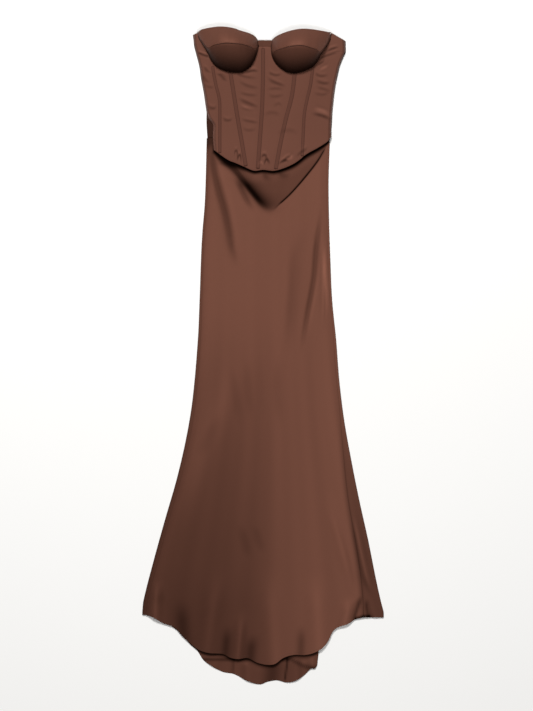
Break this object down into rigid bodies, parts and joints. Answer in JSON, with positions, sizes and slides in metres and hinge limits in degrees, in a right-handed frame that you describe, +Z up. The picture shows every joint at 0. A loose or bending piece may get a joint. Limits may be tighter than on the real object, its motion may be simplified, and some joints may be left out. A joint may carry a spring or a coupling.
{
  "type": "strapless corset dress laid flat",
  "caption": "Strapless satin dress laid flat: boned bodice with two underwired cups and a curved hem over a long flared skirt with a draped V and a short train.",
  "frame": {"origin": "middle of the dress's outline, on the surface that it lies on", "axes": "+Y from the train to the neckline, +X to the viewer's right, +Z up from the surface through the front of the dress"},
  "size_m": [0.5432, 1.4796, 0.0629],
  "materials": {
    "satin": "satin crepe, dull sheen",
    "satin_channel": "satin crepe over boning",
    "satin_cup": "satin crepe over thin foam"
  },
  "bodies": {
    "root": {"skirt_back": "satin", "skirt_front": "satin", "back_left": "satin", "back_right": "satin", "side_left": "satin", "side_right": "satin", "side_front_left": "satin", "side_front_right": "satin", "centre_front_left": "satin", "centre_front_right": "satin", "wing_left": "satin", "wing_right": "satin", "bridge": "satin", "cup_lower_left": "satin_cup", "cup_lower_right": "satin_cup", "cup_upper_left": "satin_cup", "cup_upper_right": "satin_cup", "channel_outer_left": "satin_channel", "channel_diagonal_left": "satin_channel", "channel_centre": "satin_channel", "channel_diagonal_right": "satin_channel", "channel_outer_right": "satin_channel"}
  },
  "joints": []
}
